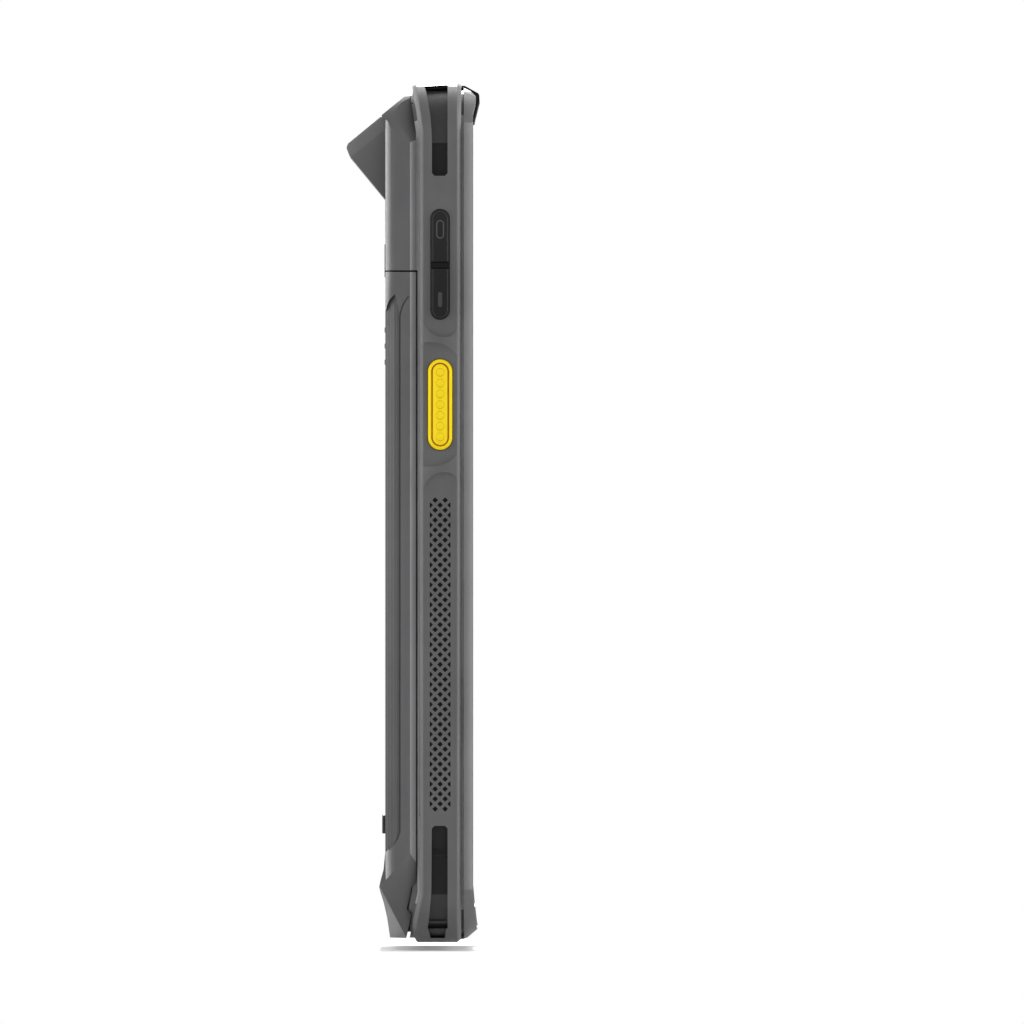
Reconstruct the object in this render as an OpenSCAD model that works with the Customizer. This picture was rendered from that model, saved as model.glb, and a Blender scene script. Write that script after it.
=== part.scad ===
// Portable barcode data terminal.
// +Z runs up the length, +X comes out of the screen, -Y is the device's left side.
// The origin is the middle of the bottom end, on the mid-plane of the side band.

/* [Body] */
// Length from the bottom end to the top end
body_len = 160; // [157:0.5:164]
// Width across the ridges of the two sides
body_w = 76; // [74:0.5:79]
// Depth from the mid-plane back to the flat back
back_depth = 10.2; // [10:0.1:11.2]
// Depth from the mid-plane out to the front face
front_depth = 6.04; // [5.9:0.02:6.5]
// Corner radius seen from the front
corner_r = 9; // [8:0.5:10]
// Wall of the housings
wall = 1.5; // [1.3:0.1:1.7]

/* [Side band] */
// Half the thickness of the flat side panels
panel_half = 3.12; // [3.05:0.01:3.3]
// Height of the ridges between the side panels
ridge_h = 0.83; // [0.5:0.01:1]
// Thickness of the bevels beside the panels
bevel_t = 0.78; // [0.6:0.02:0.9]
// How far the bevels lean in
bevel_in = 0.57; // [0.4:0.01:0.8]
// Width of the parting grooves
groove_w = 0.5; // [0.4:0.05:0.6]
// Depth of the parting grooves
groove_in = 1.6; // [1.2:0.1:1.8]
// Thickness of the band's wall at the sides
band_wall = 3.67; // [3.6:0.01:4]
// Thickness of the band's wall at the two ends
end_wall = 4; // [3.8:0.1:4.5]

/* [Scan keys] */
// Width of the scan keys
scan_w = 4.5; // [4.2:0.1:4.8]
// Length of the scan keys
scan_len = 16.8; // [14:0.1:18]
// Drop of the scan keys' centre below the top end
scan_drop = 60; // [59.5:0.1:60.5]
// Number of dots along a scan key
scan_dots = 7; // [3:1:7]

/* [Volume and power keys] */
// Width of the volume keys
vol_w = 3.3; // [3:0.1:3.8]
// Length of the volume key pair
vol_len = 20.3; // [18:0.1:21.5]
// Width of the bridge between the volume keys
bridge_w = 1.4; // [1:0.1:2]
// Width of the power key
power_w = 3.6; // [3.2:0.1:3.8]
// Length of the power key
power_len = 11.8; // [10:0.1:13]
// Width of the ring round the power key
power_rim = 0.55; // [0.4:0.05:0.6]
// Inward travel of every key
key_travel = 0.35; // [0.2:0.05:0.4]

/* [Battery] */
// Length of the rear housing, from the seam to the top end
housing_len = 35.2; // [34.5:0.1:36]
// Length of the bulge at the battery's foot
bulge_len = 17; // [16:0.5:18]
// How far the bulge stands back from the flat back
bulge_out = 1.13; // [0.8:0.01:1.3]
// Radius of the back's long edges
edge_r = 1.9; // [1.5:0.1:2.2]
// Number of grip bars across the battery's back
bar_count = 3; // [1:1:4]
// Pitch of the grip bars
bar_pitch = 3; // [2:0.1:4]

/* [Nose] */
// Tilt of the scan window from the level
nose_tilt = 39.5; // [38:0.5:42]
// Length of the scan window's face
nose_face = 8.48; // [8:0.05:9]
// Width of the nose
nose_w = 34; // [30:0.5:36]
// Drop of the nose's root below the top end
nose_drop = 6.2; // [6:0.1:6.5]

/* [Grilles] */
// Full diagonal of one diamond pocket
gem_d = 1.05; // [0.8:0.05:1.3]
// Pitch of the diamond pockets
gem_pitch = 1.85; // [1.6:0.05:2.2]
// Depth of the diamond pockets
gem_depth = 0.4; // [0.2:0.05:0.6]

/* [Hidden] */
$fn = 64;

// Overrun of every cut past the face that it opens
over = 2;
// Gap between pieces that move past each other
gap = 0.15;
// Gap round the battery, which swings out
swing_gap = 0.3;
// Slip fit of screws in their holes
slip = 0.02;

// Stations across the thickness
band_x = panel_half + bevel_t;
shell_x = band_x + groove_w + 0.2 * groove_w;
core_x = shell_x - swing_gap;
face_x = band_x + groove_w;
side_y = body_w / 2 - ridge_h;
scan_z = body_len - scan_drop;
seam_z = body_len - housing_len;
inner_y = side_y - band_wall;
inner_r = corner_r - band_wall;

// Web of the mid frame
web_back = 0.6;
web_front = 0.2;

// Flares of the band towards the back at its two ends: where they start, and how
// far they turn
bend_clear = 0.3;
head_clear = 0.1;
foot_bend_z = corner_r + bend_clear;
head_bend_z = body_len - corner_r - head_clear;
// Each flare turns in two steps whose sines and cosines are short decimals, so that
// both sides of its middle plane meet without a seam
foot_turns = [asin(0.28), -asin(0.07584)];
head_turns = [asin(0.07584), asin(0.07584)];
// Run and fall of the two middle planes
mid_step = 0.1;
foot_mid = [29 * mid_step, 278 * mid_step];
head_mid = [23.7 * mid_step, 311.6 * mid_step];
// Fall of the head's top edge from the front to the back
head_fall = 1.05;
head_tan = head_fall / (panel_half + back_depth);
// Chamfer behind the foot: shares of the panels' half thickness, with rises
foot_cap_shares = [1.35, 1.46, 1.52];
foot_cap_rises = [0, 0.4, 0.9];

function head_line(x) = body_len - (panel_half - x) * head_tan;

// Rear shell
shell_in = 0.3;
shell_drop = 1.7;
shell_foot = 0.85;
lip_in = 0.8;
lip_t = 1.1;
shell_y = side_y - shell_in;
shell_top = body_len - shell_drop;
lip_x = shell_x + lip_t;
flare_len = 4.8;
flare_out = 0.68;
nose_x = -(back_depth + flare_out);
nose_z = body_len - nose_drop;
shoulder_x = nose_x + (shell_top - nose_z) / tan(nose_tilt);

// Points of the bulge, as shares of its depth and its length
bulge_shares = [
    [-0.76, 0.05], [-0.30, 0.268], [0.25, 0.435], [0.83, 0.559], [1, 0.612],
    [0.75, 0.688], [0.29, 0.80], [0, 1]
];

function back_profile() = concat(
    [[-shell_x, shell_foot]],
    [for (s = bulge_shares) [-(back_depth + s[0] * bulge_out), s[1] * bulge_len]],
    [[-back_depth, nose_z - flare_len], [-(back_depth + 0.28 * flare_out),
        nose_z - flare_len / 2], [nose_x, nose_z], [shoulder_x, shell_top],
        [-shell_x, shell_top]]
);

// Corner planes of the rear shell: where they leave the side, and their angles
top_crease = 9.6;
top_turn = 43.5;
top_tilt = 36;
foot_turn = 132;
foot_tilt = 22;
foot_crease = 16.7;
foot_edge_up = 10.6;
foot_edge_tilt = 123.3;
foot_edge_turn = 152.9;
foot_corner_r = 4;

// Profile in X and Z, given a width across Y
module across(w) rotate([90, 0, 0]) linear_extrude(w, center = true) children();

// Profile in X and Z, from y0 to y1
module sideways(y0, y1)
    translate([0, y1, 0]) rotate([90, 0, 0]) linear_extrude(y1 - y0) children();

// Profile in Y and Z, from x0 to x1
module through(x0, x1)
    translate([x0, 0, 0]) rotate([90, 0, 90]) linear_extrude(x1 - x0) children();

// Profile in X and Y, from z0 to z1
module upward(z0, z1) translate([0, 0, z0]) linear_extrude(z1 - z0) children();

module both() {
    children();
    mirror([0, 1, 0]) children();
}

module left() mirror([0, 1, 0]) children();

// Box between two corners
module block(a, b) translate(a) cube(b - a);

// Turns what lies past a bend about the panels' rear edge
module bent(z, turns, dir) translate([-panel_half, 0, z])
    rotate([0, -dir * turns[0], 0]) rotate([0, -dir * turns[1], 0])
        translate([panel_half, 0, -z]) children();

// Space past a bend behind its middle planes: dir is -1 for the foot and 1 for the head
module bend_space(z, mid, dir) across(2 * body_w) polygon([
    [-panel_half, z],
    [-panel_half - mid[1] / 2, z - dir * mid[0] / 2],
    [-panel_half - mid[1] / 2, z + dir * mid[1]],
    [-panel_half - mid[0], z + dir * mid[1]]
]);

// Space past a bend in front of its middle plane
module bend_front(z, mid, dir) across(2 * body_w) polygon([
    [back_depth, z], [-panel_half, z], [-panel_half - mid[0], z + dir * mid[1]],
    [back_depth, z + dir * mid[1]]
]);

// Children with both flares
module flared() {
    difference() {
        children();
        bend_space(foot_bend_z, foot_mid, -1);
        bend_space(head_bend_z, head_mid, 1);
    }
    intersection() {
        bent(foot_bend_z, foot_turns, -1) children();
        bend_space(foot_bend_z, foot_mid, -1);
    }
    intersection() {
        bent(head_bend_z, head_turns, 1) children();
        bend_space(head_bend_z, head_mid, 1);
    }
}

// Everything in front of the rear shell
module shell_front() flared() block([-shell_x, -body_w, -back_depth],
    [back_depth, body_w, body_len + back_depth]);

// Rectangle with round corners, centred across, from z0 to z1
module outline(hw, z0, z1, r) {
    translate([-hw, z0 + r]) square([2 * hw, z1 - z0 - 2 * r]);
    translate([-hw + r, z0]) square([2 * (hw - r), z1 - z0]);
    for (y = [-hw + r, hw - r], z = [z0 + r, z1 - r]) translate([y, z]) circle(r);
}

// Stadium in X and Z about z = zc
module stadium(hw, zc, len) {
    translate([-hw, zc - len / 2 + hw]) square([2 * hw, len - 2 * hw]);
    for (z = [zc - len / 2 + hw, zc + len / 2 - hw]) translate([0, z]) circle(hw);
}

// Plate with round corners whose edge follows rows of [inset, x]
module slab(hw, z0, z1, r, rows) {
    yc = hw - r;
    out = [for (p = rows) [p[1], r - p[0]]];
    back = [for (i = [len(rows) - 1:-1:0]) out[i]];
    upward(z0 + r, z1 - r) polygon(concat(
        [for (p = out) [p[0], yc + p[1]]],
        [for (p = back) [p[0], -yc - p[1]]]
    ));
    across(2 * yc) polygon(concat(
        [for (p = out) [p[0], z1 - r + p[1]]],
        [for (p = back) [p[0], z0 + r - p[1]]]
    ));
    for (k = [0:3]) {
        y = k < 2 ? yc : -yc;
        z = k == 1 || k == 2 ? z1 - r : z0 + r;
        translate([0, y, z]) rotate([90 * k, 0, 0]) rotate([0, 90, 0])
            rotate_extrude(angle = 90) polygon(concat(
                [[0, rows[0][1]]],
                [for (p = out) [p[1], p[0]]],
                [[0, rows[len(rows) - 1][1]]]
            ));
    }
}

// Mid frame
// Bowed ends of the side panels: shares of a panel's half thickness, and rises
// above the scan keys' centre, with three points to a bow
first_end_shares = [-1, -0.5, 0.22, 0.93, 1];
first_end_rises = [15.1, 12.5, 12.55, 12.5, 14.4];
second_top_shares = [-1, -0.99, -0.7, 0.38, 1];
second_top_rises = [10.9, 11.65, 11.65, 11.6, 9.2];
second_low_shares = [-1, -0.98, -0.74, 0.45, 1];
second_low_rises = [-11, -11.5, -11.53, -11.6, -9.2];
third_end_shares = [-1, -0.61, 0.22, 0.96, 1];
third_end_rises = [-15.4, -12.6, -12.5, -12.5, -14.4];
bow_steps = 6;
bridge_near = 9;
bridge_far = 15.6;
bridge_r = (panel_half * panel_half + ridge_h * ridge_h) / (2 * ridge_h);

function bow(a, b, c) = [for (i = [1:bow_steps]) let (t = i / bow_steps)
    a * (1 - t) * (1 - t) + b * 2 * t * (1 - t) + c * t * t];

function end_point(shares, rises, i) = [shares[i] * panel_half, scan_z + rises[i]];

function panel_end(shares, rises) = concat(
    [end_point(shares, rises, 0)],
    bow(end_point(shares, rises, 0), end_point(shares, rises, 1),
        end_point(shares, rises, 2)),
    bow(end_point(shares, rises, 2), end_point(shares, rises, 3),
        end_point(shares, rises, 4))
);

// Ends of two neighbouring panels, as the space that they leave between them
module bridge_outline(low_shares, low_rises, top_shares, top_rises) polygon(concat(
    panel_end(top_shares, top_rises),
    [for (i = [2 * bow_steps:-1:0]) panel_end(low_shares, low_rises)[i]]
));

module bridge(low_shares, low_rises, top_shares, top_rises, z0, z1) intersection() {
    translate([0, side_y + ridge_h - bridge_r, z0]) cylinder(h = z1 - z0, r = bridge_r);
    sideways(side_y - bevel_in, side_y + over)
        bridge_outline(low_shares, low_rises, top_shares, top_rises);
}

// Recesses at the four corners, and the strap windows in the upper two
recess_deep = 1.1;
recess_step = 0.35;
recess_x = 1.38;
top_recess_len = 17.5;
top_step = 11.4;
top_window = 1.38;
window_h = 0.85;
head_rim = 0.4;
window_in = 9.5;
low_recess_top = 21.75;
low_step = 17.5;
low_bar_z = 15.95;
low_bar_h = 0.65;
low_slot_z = 2.64;
low_slot_h = 0.94;
low_block_z = 0.84;
foot_recess_deep = 0.6;
foot_shares = [-1.3, 0.62, 0.86, -1.7];
recess_r = 0.5;
// Left edge of the recesses, as shares of recess_x, with drops or heights
top_edge_shares = [-1.94, -1.63, -1.32, -1.17, -1.1, -1.1];
top_edge_drops = [1.5, 3.8, 6.3, 8.8, 11.1, top_recess_len - recess_r];
top_edge_start = -2.14;
low_edge_shares = [-1.93, -1.59, -1.35, -1.18, -1.12];
low_edge_heights = [0, 3.58, 6.6, 9.5, low_recess_top - recess_r];
top_left_share = -1.1;
low_left_share = -1.12;
window_left_share = -1.95;

module top_recess_outline(drop0, drop1) intersection() {
    polygon(concat(
        [[top_edge_start * recess_x, head_line(top_edge_start * recess_x) - head_rim]],
        [for (i = [0:len(top_edge_shares) - 1])
            [top_edge_shares[i] * recess_x, body_len - top_edge_drops[i]]],
        [[top_left_share * recess_x + recess_r, body_len - top_recess_len],
         [recess_x - recess_r, body_len - top_recess_len],
         [recess_x, body_len - top_recess_len + recess_r],
         [recess_x, head_line(recess_x) - head_rim]]
    ));
    translate([-panel_half, body_len - drop1])
        square([2 * panel_half, drop1 - drop0]);
}

module low_recess_outline(z0, z1) intersection() {
    polygon(concat(
        [[recess_x, 0]],
        [for (i = [0:len(low_edge_shares) - 1])
            [low_edge_shares[i] * recess_x, low_edge_heights[i]]],
        [[low_left_share * recess_x + recess_r, low_recess_top],
         [recess_x - recess_r, low_recess_top],
         [recess_x, low_recess_top - recess_r]]
    ));
    translate([-panel_half, z0]) square([2 * panel_half, z1 - z0]);
}

// Space outside the body's outline drawn in by a depth
module rim_space(depth) difference() {
    block([-band_x, 0, -over], [band_x, side_y + over, body_len + over]);
    through(-band_x - over, band_x + over)
        outline(side_y - depth, depth, body_len - depth, corner_r - depth);
}

module corner_recesses() {
    intersection() {
        rim_space(recess_deep);
        sideways(0, side_y + over) {
            top_recess_outline(0, top_recess_len);
            low_recess_outline(low_slot_z, low_recess_top);
        }
    }
    intersection() {
        rim_space(recess_deep + recess_step);
        sideways(side_y / 2, side_y + over) {
            top_recess_outline(top_step, top_recess_len);
            low_recess_outline(low_bar_z + low_bar_h, low_step);
            low_recess_outline(low_slot_z, low_slot_z + low_slot_h);
            low_recess_outline(low_slot_z + low_slot_h + recess_r, low_bar_z);
        }
    }
    intersection() {
        rim_space(foot_recess_deep);
        sideways(side_y / 2, side_y + over) polygon([
            [foot_shares[0] * recess_x, low_block_z], [foot_shares[1] * recess_x, low_block_z],
            [foot_shares[2] * recess_x, low_slot_z + over / 4],
            [foot_shares[3] * recess_x, low_slot_z + over / 4]
        ]);
    }
    on_window() block([-window_span, side_y - window_in, 0], [0, side_y, window_h]);
}

// Local frame of the strap windows: they fall with the head
window_span = (1 - window_left_share) * recess_x;
module on_window() translate([recess_x, 0, body_len - top_window])
    rotate([0, -atan(head_tan), 0]) children();

module strap_bars() color([0.28, 0.28, 0.29]) both() on_window()
    translate([-window_span, side_y - 0.62 * window_in, window_h / 2])
        rotate([0, 90, 0]) cylinder(h = window_span, d = 0.55 * window_h);

// Key pockets: an outer opening for the cap, a wider one for its flange
flange_out = 0.45;
flange_t = 0.6;
flange_pocket = 2;
cap_proud = 0.35;
dome_gap = 0.15;
board_t = 0.4;
dome_d = 2.2;
key_seat = key_travel + dome_gap;
dome_h = 0.55;
dome_top = inner_y + dome_h;
key_y = dome_top + key_seat;
vol_rise = 26.05;
power_rise = 24;
vol_z = scan_z + vol_rise;
power_z = scan_z + power_rise;

module key_pocket(w, len, zc) {
    sideways(inner_y - over, side_y + over) stadium(w / 2 + gap, zc, len + 2 * gap);
    sideways(inner_y - over, inner_y + flange_pocket)
        stadium(w / 2 + gap + flange_out, zc, len + 2 * (gap + flange_out));
}

module power_seat() {
    key_pocket(power_w, power_len, power_z);
    sideways(inner_y + flange_pocket, side_y + over)
        stadium(power_w / 2 + gap + power_rim, power_z,
            power_len + 2 * (gap + power_rim));
}

key_board_low = scan_z - scan_len / 2 - gap - flange_out;
key_board_top = vol_z + vol_len / 2 + gap + flange_out;
module key_board_space() block(
    [-scan_w / 2 - flange_out, inner_y - board_t, key_board_low],
    [scan_w / 2 + flange_out, inner_y, key_board_top]);

// Grilles: diamond holes in the frame's skin, with a mesh strip behind them
grille_t = 1.2;
grille_side = 0.5;
grille_end = 1.2;
gem_low = low_recess_top + 3.15;
gem_high = scan_z - 17.6;
gem_edge = 0.15;
gem_rows = floor((gem_high - gem_low) / gem_pitch);
grille_half = gem_pitch + gem_d / 2 + grille_side;

module grille_space(y0) block(
    [-grille_half, y0, gem_low - grille_end],
    [grille_half, side_y - gem_depth, gem_low + gem_rows * gem_pitch + grille_end]);

module gem() polygon([[-gem_d / 2, 0], [0, gem_d / 2], [gem_d / 2, 0],
    [0, -gem_d / 2]]);

module gem_row(z, xs) for (x = xs) translate([x * gem_pitch, z]) gem();

module gems() intersection() {
    for (i = [0:gem_rows]) {
        gem_row(gem_low + i * gem_pitch, [-0.5, 0.5]);
        if (i < gem_rows) gem_row(gem_low + (i + 0.5) * gem_pitch, [-1, 0, 1]);
    }
    translate([-gem_pitch - gem_edge / 2, 0])
        square([2 * gem_pitch + gem_edge, body_len]);
}

module gem_holes() sideways(side_y - gem_depth - over / 4, side_y + over) gems();

module grille() color([0.1, 0.1, 0.11]) grille_space(side_y - grille_t);

module left_grille() left() grille();
module right_grille() grille();

// Sockets and screws
usb_y = 14;
usb_w = 9;
usb_t = 3.2;
usb_deep = 6.8;
usb_wall = 0.35;
usb_tongue = 0.7;
speaker_y = -16;
sound_d = 1.2;
sound_pitch = 2.4;
sound_count = 6;
boss_r = 2;
boss_in = 4;
screw_r = 0.6;
screw_head_r = 1.5;
screw_head_t = 0.4;
screw_len = 2.4;
floor_x = 3.1;
floor_t = 0.8;
screw_low = 12;
screw_drop = 12;
screw_top = seam_z - screw_drop;

module at_screws() both() for (z = [screw_low, screw_top])
    translate([0, inner_y - boss_in, z]) rotate([0, -90, 0]) children();

module usb_outline() translate([0, usb_y]) {
    square([usb_t, usb_w - usb_t], center = true);
    for (s = [-1, 1]) translate([0, s * (usb_w - usb_t) / 2]) circle(d = usb_t);
}

module usb_socket() color([0.62, 0.63, 0.65]) {
    upward(0.5 * shell_foot, usb_deep) difference() {
        usb_outline();
        translate([0, usb_y]) {
            square([usb_t - 2 * usb_wall, usb_w - usb_t], center = true);
            for (s = [-1, 1]) translate([0, s * (usb_w - usb_t) / 2])
                circle(d = usb_t - 2 * usb_wall);
        }
    }
    upward(usb_deep, usb_deep + usb_wall) usb_outline();
    upward(shell_foot, usb_deep) translate([0, usb_y])
        square([usb_tongue, usb_w - usb_t - usb_wall], center = true);
}

module foot_slots() both() block(
    [-shell_x - over, foot_tab_y - foot_tab_w / 2 - swing_gap, groove_in],
    [-foot_tab_x + swing_gap, foot_tab_y + foot_tab_w / 2 + swing_gap,
        foot_tab_z + foot_tab_h + 2 * swing_gap]);

// What the side view loses: a chamfer behind the foot, and a fall of the head's top
module frame_cuts() across(2 * body_w) {
    polygon([
        [-foot_cap_shares[0] * panel_half, foot_cap_rises[0]],
        [-foot_cap_shares[1] * panel_half, foot_cap_rises[1]],
        [-foot_cap_shares[2] * panel_half, foot_cap_rises[2]],
        [-back_depth, foot_cap_rises[2]], [-back_depth, -over],
        [-foot_cap_shares[0] * panel_half, -over]
    ]);
    polygon([
        [panel_half, body_len], [panel_half, body_len + over],
        [-back_depth, body_len + over], [-back_depth, head_line(-back_depth)]
    ]);
}

frame_rear = [
    [groove_in, -core_x], [groove_in, -band_x], [bevel_in, -band_x], [0, -panel_half]
];
frame_front = [
    [0, panel_half], [bevel_in, band_x], [groove_in, band_x], [groove_in, face_x]
];

module frame_slab(rear) slab(side_y, 0, body_len, corner_r, concat(rear, frame_front));

// One flare, and the plain side panel in front of it
module frame_end(z, turns, mid, dir) {
    intersection() {
        bent(z, turns, dir) frame_slab(frame_rear);
        bend_space(z, mid, dir);
    }
    intersection() {
        frame_slab([[0, -panel_half - mid[0]]]);
        bend_front(z, mid, dir);
    }
}

module frame_ring() difference() {
    union() {
        difference() {
            intersection() {
                frame_slab(frame_rear);
                block([-back_depth, -body_w, foot_bend_z],
                    [back_depth, body_w, head_bend_z]);
            }
            bend_space(foot_bend_z, foot_mid, -1);
            bend_space(head_bend_z, head_mid, 1);
        }
        frame_end(foot_bend_z, foot_turns, foot_mid, -1);
        frame_end(head_bend_z, head_turns, head_mid, 1);
    }
    through(web_front, face_x + over)
        outline(inner_y, end_wall, body_len - end_wall, inner_r);
}

module mid_frame() color([0.40, 0.40, 0.41]) difference() {
    union() {
        difference() {
            frame_ring();
            frame_cuts();
            through(-core_x - over, -web_back)
                outline(inner_y, end_wall, body_len - end_wall, inner_r);
        }
        flared() seal_rib(0);
        both() {
            bridge(second_top_shares, second_top_rises, first_end_shares,
                first_end_rises, scan_z + bridge_near, scan_z + bridge_far);
            bridge(third_end_shares, third_end_rises, second_low_shares,
                second_low_rises, scan_z - bridge_far, scan_z - bridge_near);
        }
        intersection() {
            at_screws() translate([0, 0, web_back]) cylinder(h = floor_x - web_back, r = boss_r);
            block([-floor_x, -inner_y, end_wall], [0, inner_y, body_len]);
        }
    }
    both() corner_recesses();
    both() grille_space(inner_y);
    both() gem_holes();
    both() key_pocket(scan_w, scan_len, scan_z);
    both() key_board_space();
    left() key_pocket(vol_w, vol_len, vol_z);
    power_seat();
    upward(-over, usb_deep + usb_wall) usb_outline();
    for (i = [0:sound_count - 1])
        translate([0, speaker_y + (i - (sound_count - 1) / 2) * sound_pitch, -over])
            cylinder(h = end_wall + 2 * over, d = sound_d);
    at_screws() cylinder(h = floor_x + over, r = screw_r + slip);
    foot_slots();
    both() edge_notches();
}

// Shallow notches in the frame's rear edge, where a nail lifts the battery
notch_t = 0.15;
notch_top_h = 4;
notch_low_z = 20;
notch_low_h = 3.5;
module edge_notch(z0, z1) block([-band_x - over, side_y - groove_in, z0],
    [-band_x + notch_t, side_y + over, z1]);

module edge_notches() {
    edge_notch(seam_z - notch_top_h, seam_z);
    edge_notch(notch_low_z, notch_low_z + notch_low_h);
}

// Rib of the frame that stands in a channel of the battery and shuts the gap
rib_in = 2.4;
rib_t = 0.8;
rib_h = 1;
rib_y = 25.5;
module seal_rib(fit) both() intersection() {
    through(-core_x - rib_h - fit, -core_x + gap) difference() {
        outline(side_y - rib_in + fit, rib_in - fit, body_len, corner_r - rib_in + fit);
        outline(side_y - rib_in - rib_t - fit, rib_in + rib_t + fit, body_len + over,
            corner_r - rib_in - rib_t - fit);
    }
    block([-back_depth, rib_y - fit, 0], [0, body_w, seam_low - gap + fit]);
}

// Keys
cap_in = 0.3;
cap_rim = 0.12;
ring_w = 0.3;
ring_half = 1.5;
ring_deep = 0.2;
dot_d = 1.4;
dot_pitch = 2;
dot_h = 0.15;

// Cap and flange of a key whose outline is a stadium
module key_body(w, len, zc) {
    sideways(key_y, side_y + cap_proud - cap_rim) stadium(w / 2, zc, len);
    sideways(key_y, side_y + cap_proud) stadium(w / 2 - cap_in, zc, len - 2 * cap_in);
    sideways(key_y, key_y + flange_t)
        stadium(w / 2 + flange_out - gap, zc, len + 2 * (flange_out - gap));
}

module scan_key() color([1, 0.9, 0.1]) {
    difference() {
        key_body(scan_w, scan_len, scan_z);
        sideways(side_y + cap_proud - ring_deep, side_y + cap_proud + over)
            difference() {
                stadium(ring_half + ring_w / 2, scan_z,
                    scan_len - scan_w + 2 * ring_half + ring_w);
                stadium(ring_half - ring_w / 2, scan_z,
                    scan_len - scan_w + 2 * ring_half - ring_w);
            }
    }
    for (i = [0:scan_dots - 1])
        translate([0, side_y + cap_proud,
            scan_z + (i - (scan_dots - 1) / 2) * dot_pitch])
            rotate([-90, 0, 0]) cylinder(h = dot_h, d = dot_d);
}

module left_scan_key() left() scan_key();
module right_scan_key() scan_key();

module volume_key(z0, z1) color([0.13, 0.13, 0.14]) intersection() {
    key_body(vol_w, vol_len, vol_z);
    block([-vol_w, 0, z0], [vol_w, body_w, z1]);
}

bridge_z = vol_z - 0.15;
module volume_up_key() left()
    volume_key(bridge_z + bridge_w / 2, vol_z + vol_len);
module volume_down_key() left()
    volume_key(vol_z - vol_len, bridge_z - bridge_w / 2);

module volume_bridge() color([0.2, 0.2, 0.21]) left() block(
    [-vol_w / 2 - gap, inner_y + board_t / 2, bridge_z - bridge_w / 2 + gap],
    [vol_w / 2 + gap, side_y + cap_proud / 2, bridge_z + bridge_w / 2 - gap]);

module power_bezel() color([0.15, 0.15, 0.16])
    sideways(inner_y + flange_pocket, side_y + cap_proud / 2) difference() {
        stadium(power_w / 2 + gap + power_rim, power_z,
            power_len + 2 * (gap + power_rim));
        stadium(power_w / 2 + gap, power_z, power_len + 2 * gap);
    }

module power_key() color([0.11, 0.11, 0.12])
    key_body(power_w, power_len, power_z);

// Key boards: a strip along the wall's inner face with one dome under each key
module dome(z) translate([0, inner_y - board_t / 2, z]) rotate([-90, 0, 0])
    cylinder(h = dome_top - inner_y + board_t / 2, d = dome_d);

module left_key_board() color([0.1, 0.35, 0.2]) left() {
    key_board_space();
    dome(scan_z);
    dome(vol_z + vol_len / 4);
    dome(vol_z - vol_len / 4);
}

module right_key_board() color([0.1, 0.35, 0.2]) {
    key_board_space();
    dome(scan_z);
    dome(power_z);
}

// Front
front_y = side_y - shell_in;
front_low = 0.6;
front_top = body_len - 1.05;
front_lean = 1.1;
glass_low = 6;
glass_top = body_len - 7.5;
glass_in = 3;
glass_t = 0.85;
glass_drop = 0.3;
glass_r = 4;
ledge = 1.8;
bump_reach = 7.5;
bump_in = 13;
bump_out = 0.86;
bump_dip = 0.3;
display_in = 0.6;
display_t = 3.8;
display_low = 13;
display_end = 11;
display_r = 1;
trim_half = 22;
trim_low = 7.3;
// Black trim over the top edge: how far it stands out of the front, and drops
trim_outs = [0.96, 1.21, 1.26, 1.11, 0.81, 0.5, 0.26];
trim_drops = [1.9, 2.2, 3.2, 3.8, 5, 6.2, trim_low];
trim_edge = 0.55;
trim_under = 1.2;
// Bumpers at the corners: how far they stand out, with drops or heights
top_bump_outs = [-0.24, 0.56, 0.58, 0.46, 0.26, 0.06, 0];
top_bump_drops = [1.85, 2.6, 3.4, 4.3, 5.2, 6.1, bump_reach];
low_bump_outs = [0.86, 0.76, 0.45, 0.18, 0];
low_bump_heights = [2.5, 2.8, 5.4, 7.9, 9.9];

// Section of the black trim over the top edge
module trim_section() polygon(concat(
    [[band_x + gap / 3, body_len - trim_under], [band_x + gap / 3, body_len - trim_edge],
     [face_x + gap, body_len - trim_edge]],
    [for (i = [0:len(trim_outs) - 1]) [front_depth + trim_outs[i],
        body_len - trim_drops[i]]],
    [[face_x + wall / 2, body_len - trim_low], [face_x + wall / 2, body_len - end_wall],
     [face_x, body_len - 2 * trim_under], [face_x, body_len - trim_under]]
));

module front_housing() color([0.38, 0.38, 0.39]) difference() {
    union() {
        slab(front_y, front_low, front_top, corner_r,
            [[0, face_x], [front_lean, front_depth]]);
        both() intersection() {
            slab(front_y, front_low, front_top, corner_r,
                [[0, face_x], [front_lean, front_depth + bump_out]]);
            sideways(front_y - bump_in, front_y + over) {
                polygon(concat([[face_x, front_top + over]],
                    [for (i = [0:len(top_bump_outs) - 1])
                        [front_depth + top_bump_outs[i], body_len - top_bump_drops[i]]],
                    [[face_x, body_len - bump_reach]]));
                polygon(concat([[face_x, front_low - bump_dip]],
                    [for (i = [0:len(low_bump_outs) - 1])
                        [front_depth + low_bump_outs[i], low_bump_heights[i]]],
                    [[face_x, low_bump_heights[len(low_bump_heights) - 1]]]));
            }
        }
        across(2 * (front_y - corner_r)) polygon([
            [band_x, front_low], [face_x, front_low], [face_x + wall / 2, groove_in],
            [band_x, groove_in]
        ]);
    }
    through(front_depth - glass_drop - glass_t, front_depth + over)
        outline(front_y - glass_in, glass_low, glass_top, glass_r);
    through(face_x - over, front_depth + over)
        outline(front_y - glass_in - ledge, glass_low + ledge, glass_top - ledge,
            glass_r - ledge);
    across(2 * trim_half) trim_section();
}

module cover_glass() color([0.08, 0.09, 0.1])
    through(front_depth - glass_drop - glass_t, front_depth - glass_drop)
        outline(front_y - glass_in, glass_low, glass_top, glass_r);

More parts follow.
